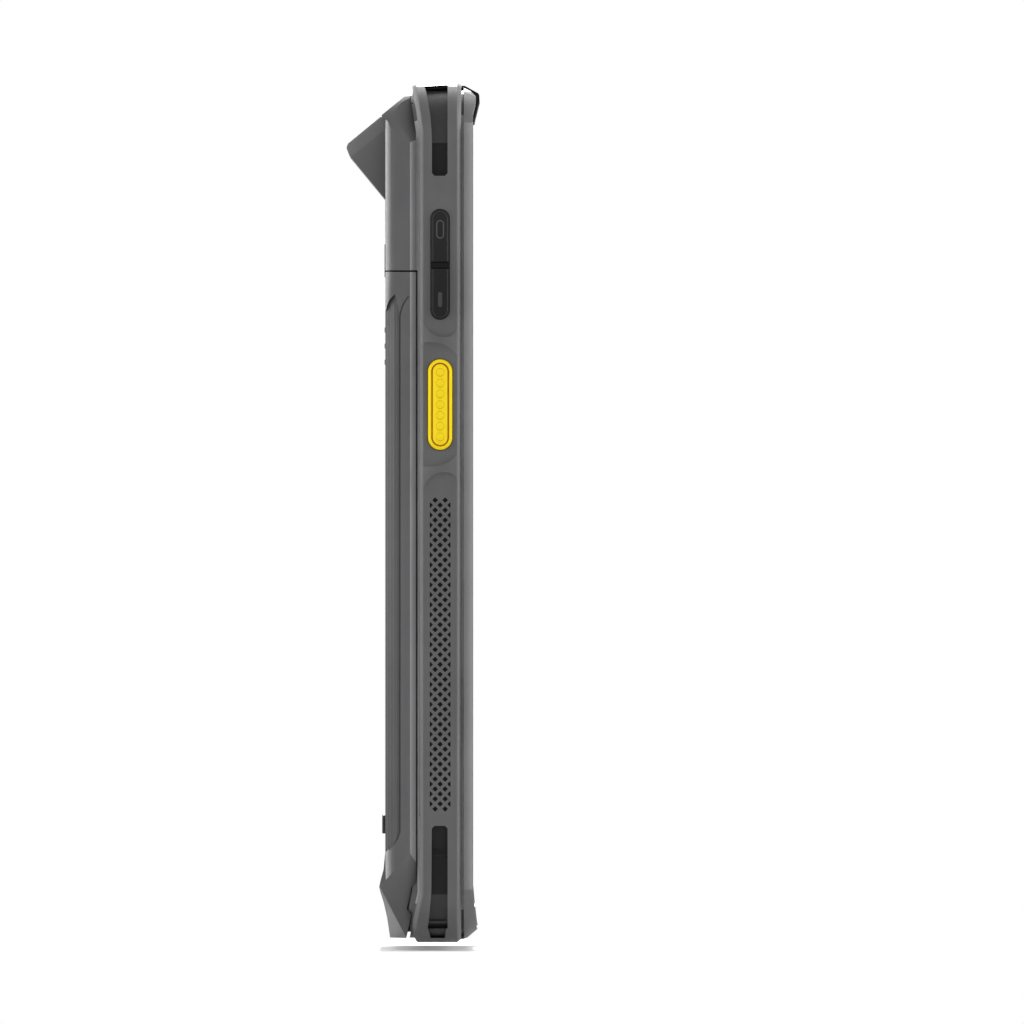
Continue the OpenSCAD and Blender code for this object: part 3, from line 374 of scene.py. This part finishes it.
def settle(obj: bpy.types.Object, body: str, finish: Finish) -> bpy.types.Object:
    """Give a piece its finish and attach it to its body.

    Args:
        obj: The piece.
        body: The body it moves with.
        finish: The finish.

    Returns:
        The same piece.
    """
    dress(obj, finish)
    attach(obj, body)
    LOG.info("piece %s rides on %s", obj.name, body)
    return obj


@dataclass(frozen=True)
class Patch:
    """A second finish for the faces of a piece that lie in one place: mostly painted shade or
    painted light, else the scan keys' orange.

    The depth of a face is measured in from the terminal's side outline.
    """

    finish: Finish
    span_x: tuple[float, float]
    span_z: tuple[float, float]
    depth: tuple[float, float]
    facing: tuple[float, float] = ANY_TURN
    outline_y: float = 37.17
    outline_r: float = 9.0
    outline_len: float = 160.0

    def inset(self, across: float, up: float) -> float:
        """Measure how far a point lies inside the side outline.

        Args:
            across: Distance from the middle plane.
            up: Height.

        Returns:
            Depth below the side or below the corner's round.
        """
        centre = self.outline_y - self.outline_r
        low = min(up, self.outline_len - up)
        if across > centre and low < self.outline_r:
            return self.outline_r - math.hypot(across - centre, self.outline_r - low)
        return self.outline_y - across

    def holds(self, face: bpy.types.MeshPolygon) -> bool:
        """Tell whether a face lies in this place.

        Args:
            face: Face of the piece.

        Returns:
            True for a face of the patch.
        """
        x, y, z = (value / MM for value in face.center)
        return (
            self.span_x[0] <= x <= self.span_x[1]
            and self.span_z[0] <= z <= self.span_z[1]
            and self.depth[0] <= self.inset(abs(y), z) <= self.depth[1]
            and self.facing[0] <= abs(face.normal.y) <= self.facing[1]
        )

    def paint(self, piece: bpy.types.Object) -> None:
        """Give the patch its finish.

        Args:
            piece: Piece that has the faces.
        """
        index = len(piece.data.materials)
        piece.data.materials.append(self.finish.material())
        count = 0
        for face in piece.data.polygons:
            if self.holds(face):
                face.material_index = index
                count += 1
        LOG.info("patch %s on %s: %d faces", self.finish.name, piece.name, count)


@dataclass
class RoundedNode:
    """A CAD node's shape with its edges broken as moulding breaks them."""

    node: str
    body: str
    slot: str
    finish: Finish
    radius: float = 0.15
    segments: int = 2
    sharp: float = 26.0
    patches: tuple[Patch, ...] = ()

    def build(self, nodes: dict[str, bpy.types.Object]) -> bpy.types.Object:
        """Copy the node, merge it to clean faces and bevel its edges.

        Args:
            nodes: The CAD nodes by name.

        Returns:
            The piece, which stands for the node.
        """
        source = nodes[self.node]
        piece = source.copy()
        piece.data = source.data.copy()
        piece.name = self.node + "_form"
        for key in list(piece.keys()):
            del piece[key]
        piece.parent = None
        bpy.context.scene.collection.objects.link(piece)
        lone(piece)
        bpy.ops.object.mode_set(mode="EDIT")
        bpy.ops.mesh.select_all(action="SELECT")
        bpy.ops.mesh.remove_doubles(threshold=MERGE_GAP)
        bpy.ops.mesh.dissolve_limited(angle_limit=FLAT_ANGLE)
        bpy.ops.object.mode_set(mode="OBJECT")
        bevel = piece.modifiers.new("edge", "BEVEL")
        bevel.width = self.radius * MM
        bevel.segments = self.segments
        bevel.limit_method = "ANGLE"
        bevel.angle_limit = math.radians(self.sharp)
        bevel.use_clamp_overlap = True
        bevel.harden_normals = False
        bpy.ops.object.modifier_apply(modifier=bevel.name)
        bpy.ops.object.shade_smooth_by_angle(angle=FORM_SMOOTH)
        piece.data.materials.clear()
        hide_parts(self.node)
        settle(piece, self.body, self.finish)
        for patch in self.patches:
            patch.paint(piece)
        return piece


@dataclass(frozen=True)
class Mark:
    """A raised ring or bar on a key, a round shape drawn out along the length."""

    name: str
    body: str
    slot: str
    finish: Finish
    side: Side
    centre_z: float
    face_y: float
    half_width: float
    half_length: float
    stroke: float = 0.0
    rise: float = 0.05
    segments: int = 24
    rim: int = 6

    def build(self) -> bpy.types.Object:
        """Build the mark by primitives that are turned and drawn out in edit mode.

        Returns:
            The finished mark.
        """
        if self.stroke:
            bpy.ops.mesh.primitive_torus_add(
                major_segments=self.segments, minor_segments=self.rim,
                major_radius=(self.half_width - self.stroke / 2) * MM,
                minor_radius=self.stroke / 2 * MM,
            )
            thick = self.stroke / 2
        else:
            bpy.ops.mesh.primitive_cylinder_add(
                vertices=self.segments, radius=self.half_width * MM, depth=2 * self.rise * MM
            )
            thick = self.rise
        piece = lone(bpy.context.active_object)
        piece.name = self.name
        bpy.ops.object.mode_set(mode="EDIT")
        bpy.ops.mesh.select_all(action="SELECT")
        bpy.ops.transform.rotate(value=math.pi / self.segments, orient_axis="Z")
        bpy.ops.transform.rotate(value=math.pi / 2, orient_axis="X")
        bpy.ops.object.mode_set(mode="OBJECT")
        form = bmesh.new()
        form.from_mesh(piece.data)
        reach = (self.half_length - self.half_width) * MM
        for vert in form.verts:
            vert.co.z += math.copysign(reach, vert.co.z) + self.centre_z * MM
            vert.co.y *= self.rise / thick
            vert.co.y += self.side.value * self.face_y * MM
        bmesh.ops.recalc_face_normals(form, faces=form.faces)
        form.to_mesh(piece.data)
        form.free()
        if not self.stroke:
            edge = piece.modifiers.new("edge", "BEVEL")
            edge.width = self.rise * MM * MARK_EDGE_SHARE
            edge.segments = MARK_EDGE_STEPS
            edge.limit_method = "ANGLE"
            bpy.ops.object.modifier_apply(modifier=edge.name)
        bpy.ops.object.shade_smooth_by_angle(angle=MARK_SMOOTH)
        return settle(piece, self.body, self.finish)


# Where the second finishes lie (painted shade in slots, pits and pockets, painted light on
# grooves, facets and key edges): spans across, along and into the side, and how far a face there
# looks sideways.
SIDEWAYS = (0.9, 1.01)
SLOT_X = (-3.0, 1.6)
SLOT_END_X = (-3.2, 1.6)
SLOT_DEPTH = (0.3, 12.0)
HEAD_SLOT_Z = (142.0, 149.5)
HEAD_END_Z = (149.5, 159.3)
FOOT_SLOT_Z = (8.9, 21.9)
FOOT_END_Z = (0.8, 8.9)
BACK_GROOVE_Z = (5.0, 155.0)
GROOVE_DEPTH = (1.5, 1.7)
SCAN_RIM_X = (-1.75, 1.75)
SCAN_RIM_Z = (90.0, 110.0)
SCAN_WALL_Z = (92.0, 108.0)
# painted shade in the key pockets of the frame
POCKET_SHADE_PATCH = Patch(Finish.POCKET, (-2.8, 2.8), (86.0, 141.0), (0.14, 5.0))
FRAME_PAINTED_SHADE_AND_LIGHT = (
    # painted shade in the strap slots at the head and at the foot
    Patch(Finish.RECESS, SLOT_X, HEAD_SLOT_Z, SLOT_DEPTH),
    Patch(Finish.RECESS_END, SLOT_END_X, HEAD_END_Z, SLOT_DEPTH),
    Patch(Finish.RECESS, SLOT_X, FOOT_SLOT_Z, SLOT_DEPTH),
    Patch(Finish.RECESS_END, SLOT_END_X, FOOT_END_Z, SLOT_DEPTH),
    # painted light on the floors of the side grooves
    Patch(Finish.GROOVE, (-4.4, -3.85), BACK_GROOVE_Z, GROOVE_DEPTH, SIDEWAYS),
    Patch(Finish.GROOVE, (3.85, 4.6), (3.0, 157.0), GROOVE_DEPTH, SIDEWAYS),
    # painted shade on the walls of the diamond holes
    Patch(Finish.PIT, (-2.6, 2.6), (24.0, 83.0), (0.03, 0.6), (0.0, 0.6)),
    POCKET_SHADE_PATCH,
)
SHELL_PAINTED_LIGHT = (
    # painted light on the tilted facet of the shell
    Patch(Finish.FACET, (-5.7, -4.45), (9.5, 150.0), (0.2, 1.3), (0.6, 0.95)),
    # painted light on the floor of the groove along the shell
    Patch(Finish.GROOVE, (-4.7, -4.0), BACK_GROOVE_Z, (1.4, 1.8), SIDEWAYS),
)
# painted highlight on the tilted edge faces of the black keys
KEY_HIGHLIGHT_PATCHES = (Patch(Finish.KEY_EDGE, (-3.0, 3.0), (0.0, 160.0), (-0.5, 0.05), (0.2, 0.93)),)
SCAN_PATCHES = (
    Patch(Finish.RING, SCAN_RIM_X, SCAN_RIM_Z, (-0.21, -0.1), SIDEWAYS),
    Patch(Finish.RING, SCAN_RIM_X, SCAN_WALL_Z, (-0.36, -0.16), (0.0, 0.3)),
    Patch(Finish.RING, (-1.0, 1.0), SCAN_WALL_Z, (-0.52, -0.36), (0.0, 0.9)),
)


@dataclass
class Chassis:
    """Frame, front and rear housings with all that stays still on them."""

    forms: list[RoundedNode] = field(
        default_factory=lambda: [
            RoundedNode("mid_frame", "chassis", "frame_plastic", Finish.FRAME, 0.12,
                        patches=FRAME_PAINTED_SHADE_AND_LIGHT),
            RoundedNode("front_housing", "chassis", "front_plastic", Finish.FRONT, 0.25, 3),
            RoundedNode("rear_housing", "chassis", "rear_plastic", Finish.REAR, 0.25, 3,
                        patches=SHELL_PAINTED_LIGHT),
            RoundedNode("nose_hood", "chassis", "rear_plastic", Finish.REAR, 0.3, 3),
            RoundedNode("top_trim", "chassis", "black_plastic", Finish.BLACK, 0.12),
            RoundedNode("camera_island", "chassis", "rear_plastic", Finish.PIT, 0.2, 3),
            RoundedNode("power_bezel", "chassis", "black_plastic", Finish.BLACK, 0.15),
            RoundedNode("volume_bridge", "chassis", "black_plastic", Finish.BLACK, 0.1),
            RoundedNode("left_grille", "chassis", "grille_rubber", Finish.GRILLE, 0.03, 1),
            RoundedNode("right_grille", "chassis", "grille_rubber", Finish.GRILLE, 0.03, 1),
            RoundedNode("scan_window", "chassis", "window_glass", Finish.WINDOW, 0.12),
        ]
    )

    def build(self, nodes: dict[str, bpy.types.Object]) -> None:
        """Build every form of the chassis.

        Args:
            nodes: The CAD nodes by name.
        """
        for form in self.forms:
            form.build(nodes)


@dataclass
class Keys:
    """The five keys with their marks, and the battery latch."""

    radius: float = 0.2
    face_y: float = 37.52
    stroke: float = 0.25
    up_z: float = 132.55
    up_half: tuple[float, float] = (0.75, 1.75)
    down_z: float = 119.5
    down_half: tuple[float, float] = (0.4, 1.4)
    power_z: float = 123.9
    power_half: float = 1.2
    bar_z: float = 124.3
    bar_half: tuple[float, float] = (0.13, 0.6)
    scan_z: float = 100.0
    scan_radius: float = 0.06
    dots: int = 7
    dot_pitch: float = 2.0
    dot_half: float = 0.76
    dot_stroke: float = 0.12
    dot_rise: float = 0.04
    dot_rim: int = 4

    def black_keys(self, nodes: dict[str, bpy.types.Object]) -> None:
        """Build the volume and power keys with their marks.

        Args:
            nodes: The CAD nodes by name.
        """
        for node, body in (
            ("volume_up_key", "volume_up"),
            ("volume_down_key", "volume_down"),
            ("power_key", "power"),
        ):
            RoundedNode(
                node, body, "key_plastic", Finish.KEY, self.radius, 3, patches=KEY_HIGHLIGHT_PATCHES
            ).build(nodes)
        Mark("volume_up_mark", "volume_up", "key_plastic", Finish.MARK, Side.LEFT,
             self.up_z, self.face_y, *self.up_half, self.stroke).build()
        Mark("volume_down_mark", "volume_down", "key_plastic", Finish.MARK, Side.LEFT,
             self.down_z, self.face_y, *self.down_half).build()
        Mark("power_mark", "power", "key_plastic", Finish.MARK, Side.RIGHT,
             self.power_z, self.face_y, self.power_half, self.power_half,
             self.stroke).build()
        Mark("power_bar", "power", "key_plastic", Finish.MARK, Side.RIGHT,
             self.bar_z, self.face_y, *self.bar_half).build()

    def scan_keys(self, nodes: dict[str, bpy.types.Object]) -> None:
        """Build the yellow keys with an orange outline round every dot.

        Args:
            nodes: The CAD nodes by name.
        """
        for node, body, side in (
            ("left_scan_key", "left_scan", Side.LEFT),
            ("right_scan_key", "right_scan", Side.RIGHT),
        ):
            RoundedNode(
                node, body, "scan_key_plastic", Finish.SCAN, self.scan_radius,
                patches=SCAN_PATCHES,
            ).build(nodes)
            for index in range(self.dots):
                rise = (index - (self.dots - 1) / 2) * self.dot_pitch
                Mark(f"{node}_dot_{index}", body, "scan_key_plastic", Finish.RING, side,
                     self.scan_z + rise, self.face_y, self.dot_half, self.dot_half,
                     self.dot_stroke, self.dot_rise, rim=self.dot_rim).build()

    def build(self, nodes: dict[str, bpy.types.Object]) -> None:
        """Build the keys and the latch.

        Args:
            nodes: The CAD nodes by name.
        """
        self.black_keys(nodes)
        self.scan_keys(nodes)
        RoundedNode("battery_latch", "latch", "black_plastic", Finish.PIT, 0.15).build(nodes)


@dataclass
class BatteryPack:
    """The battery's case, its side grips and its rear pad."""

    def build(self, nodes: dict[str, bpy.types.Object]) -> None:
        """Build the battery.

        Args:
            nodes: The CAD nodes by name.
        """
        for form in (
            RoundedNode("battery_case", "battery", "rear_plastic", Finish.REAR, 0.2, 3,
                        patches=SHELL_PAINTED_LIGHT),
            RoundedNode("left_grip", "battery", "grip_rubber", Finish.GRIP, 0.12, 2),
            RoundedNode("right_grip", "battery", "grip_rubber", Finish.GRIP, 0.12, 2),
            RoundedNode("rear_pad", "battery", "pad_rubber", Finish.PAD, 0.2, 3),
        ):
            form.build(nodes)


@dataclass
class Insides:
    """Boards, screen and sealed pieces, which keep their CAD shape."""

    finishes: dict[str, Finish] = field(
        default_factory=lambda: {
            "cover_glass": Finish.GLASS,
            "display_panel": Finish.SCREEN,
            "earpiece_mesh": Finish.MESH,
            "scan_engine": Finish.BLACK,
            "camera_glass": Finish.LENS,
            "flash_lens": Finish.FLASH,
            "camera_module": Finish.BLACK,
            "main_board": Finish.BOARD,
            "shield_cans": Finish.SHIELD,
            "contact_block": Finish.BLACK,
            "card_socket": Finish.SHIELD,
            "usb_socket": Finish.SHIELD,
            "loudspeaker": Finish.BLACK,
            "vibration_motor": Finish.SHIELD,
            "left_key_board": Finish.BOARD,
            "right_key_board": Finish.BOARD,
            "strap_bars": Finish.BLACK,
            "housing_screws": Finish.SHIELD,
            "battery_cell": Finish.CELL,
            "battery_contacts": Finish.GOLD,
        }
    )

    def build(self, nodes: dict[str, bpy.types.Object]) -> None:
        """Dress each node with its finish.

        Args:
            nodes: The CAD nodes by name.
        """
        for name, finish in self.finishes.items():
            dress(nodes[name], finish)
            LOG.info("node %s dressed as %s", name, finish.name)


@dataclass
class Studio:
    """White room, floor, lamps and the long lens of a catalogue picture."""

    frame_mm: float = 190.2
    aim_x: float = 13.35
    aim_z: float = 80.05
    near_y: float = 37.2
    lens: float = 1000.0
    sensor: float = 36.0
    clip: tuple[float, float] = (0.1, 50.0)
    ambient: float = 0.74
    rim_power: float = 9.5
    rim_x: float = 0.8
    rim_y: float = 0.45
    lamp_width: float = 0.5
    lamp_len: float = 1.2
    lamp_z: float = 0.08
    top_power: float = 7.0
    top_place: tuple[float, float, float] = (0.0, 0.45, 1.0)
    top_size: tuple[float, float] = (1.0, 0.5)
    back_power: float = 62.0
    back_y: float = 1.5
    back_z: float = 0.9
    back_size: float = 0.07
    screen_share: float = 0.75
    floor_size: float = 0.6
    floor_back: float = 0.12
    floor_tone: float = 0.62
    side_power: float = 12.0
    side_x: float = 1.0
    side_y: float = -0.12
    floor_z: float = -1.5
    floor_glow: float = 0.12
    floor_bounce: float = 0.65

    def camera(self) -> None:
        """Place the camera square to the left side."""
        distance = self.frame_mm * MM * self.lens / self.sensor + self.near_y * MM
        data = bpy.data.cameras.new("camera")
        data.lens = self.lens
        data.sensor_width = self.sensor
        data.clip_start, data.clip_end = self.clip
        cam = bpy.data.objects.new("camera", data)
        bpy.context.scene.collection.objects.link(cam)
        cam.location = (self.aim_x * MM, -distance, self.aim_z * MM)
        cam.rotation_euler = (math.pi / 2, 0, 0)
        bpy.context.scene.camera = cam

    def world(self) -> None:
        """Make the room: white to the eye and to gloss, dimmer as a light."""
        world = bpy.data.worlds.new("room")
        bpy.context.scene.world = world
        world.use_nodes = True
        tree = world.node_tree
        tree.nodes.clear()
        out = tree.nodes.new("ShaderNodeOutputWorld")
        white = tree.nodes.new("ShaderNodeBackground")
        white.inputs["Color"].default_value = (1, 1, 1, 1)
        white.inputs["Strength"].default_value = 1.0
        dim = tree.nodes.new("ShaderNodeBackground")
        dim.inputs["Color"].default_value = (1, 1, 1, 1)
        dim.inputs["Strength"].default_value = self.ambient
        path = tree.nodes.new("ShaderNodeLightPath")
        either = tree.nodes.new("ShaderNodeMath")
        either.operation = "MAXIMUM"
        every = tree.nodes.new("ShaderNodeMath")
        every.operation = "MAXIMUM"
        mix = tree.nodes.new("ShaderNodeMixShader")
        tree.links.new(path.outputs["Is Camera Ray"], either.inputs[0])
        tree.links.new(path.outputs["Is Glossy Ray"], either.inputs[1])
        tree.links.new(either.outputs[0], every.inputs[0])
        tree.links.new(path.outputs["Is Transmission Ray"], every.inputs[1])
        tree.links.new(every.outputs[0], mix.inputs["Fac"])
        tree.links.new(dim.outputs[0], mix.inputs[1])
        tree.links.new(white.outputs[0], mix.inputs[2])
        tree.links.new(mix.outputs[0], out.inputs["Surface"])

    def lamp(
        self, name: str, place: tuple[float, float, float], size: tuple[float, float], power: float
    ) -> None:
        """Hang one soft lamp that looks at the terminal's middle.

        Args:
            name: Name of the lamp.
            place: Place in metres.
            size: Width and height in metres.
            power: Power in watts.
        """
        data = bpy.data.lights.new(name, "AREA")
        data.shape = "RECTANGLE"
        data.size, data.size_y = size
        data.energy = power
        lamp = bpy.data.objects.new(name, data)
        bpy.context.scene.collection.objects.link(lamp)
        lamp.location = place
        aim = Vector((0, 0, self.aim_z * MM)) - Vector(place)
        lamp.rotation_euler = aim.to_track_quat("-Z", "Y").to_euler()
        lamp.visible_camera = False

    def floor(self) -> None:
        """Lay the white floor, which keeps the terminal's soft shadow."""
        bpy.ops.mesh.primitive_plane_add(
            size=self.floor_size,
            location=(0, self.floor_back - self.floor_size / 2, self.floor_z * MM),
        )
        plane = bpy.context.active_object
        plane.name = "floor"
        sheet = NodeSheet("floor_white")
        glow = sheet.add("ShaderNodeEmission", Strength=self.floor_glow)
        tone = self.floor_tone
        matt = sheet.add("ShaderNodeBsdfDiffuse", Color=(tone, tone, tone, 1))
        seen = sheet.add("ShaderNodeAddShader")
        sheet.link(glow.outputs[0], seen.inputs[0])
        sheet.link(matt.outputs[0], seen.inputs[1])
        bounce = sheet.add("ShaderNodeEmission", Strength=self.floor_bounce)
        path = sheet.add("ShaderNodeLightPath")
        pick = sheet.add("ShaderNodeMixShader")
        sheet.link(path.outputs["Is Diffuse Ray"], pick.inputs["Fac"])
        sheet.link(seen.outputs[0], pick.inputs[1])
        sheet.link(bounce.outputs[0], pick.inputs[2])
        sheet.link(pick.outputs[0], sheet.out.inputs["Surface"])
        plane.data.materials.append(sheet.material)

    def build(self) -> None:
        """Set up the whole studio."""
        self.camera()
        self.world()
        tall = (self.lamp_width, self.lamp_len)
        for sign, name, share in ((1, "screen", self.screen_share), (-1, "back", 1.0)):
            self.lamp(name, (self.rim_x * sign, self.rim_y, self.lamp_z), tall,
                      self.rim_power * share)
            self.lamp(name + "_side", (self.side_x * sign, self.side_y, self.lamp_z), tall,
                      self.side_power)
        self.lamp("top", self.top_place, self.top_size, self.top_power)
        self.lamp("behind", (0.0, self.back_y, self.back_z), (self.back_size, self.back_size),
                  self.back_power)
        self.floor()
        settings = bpy.context.scene.view_settings
        settings.view_transform = "Standard"
        LOG.info("studio ready")


def main() -> None:
    """Dress the terminal piece by piece and set up its picture."""
    logging.basicConfig(level=logging.INFO, format="%(name)s: %(message)s")
    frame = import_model()
    nodes = frame["nodes"]
    for maker in (Insides(), Chassis(), Keys(), BatteryPack()):
        maker.build(nodes)
        LOG.info("%s done", type(maker).__name__)
    Studio().build()


if __name__ == "__main__":
    main()
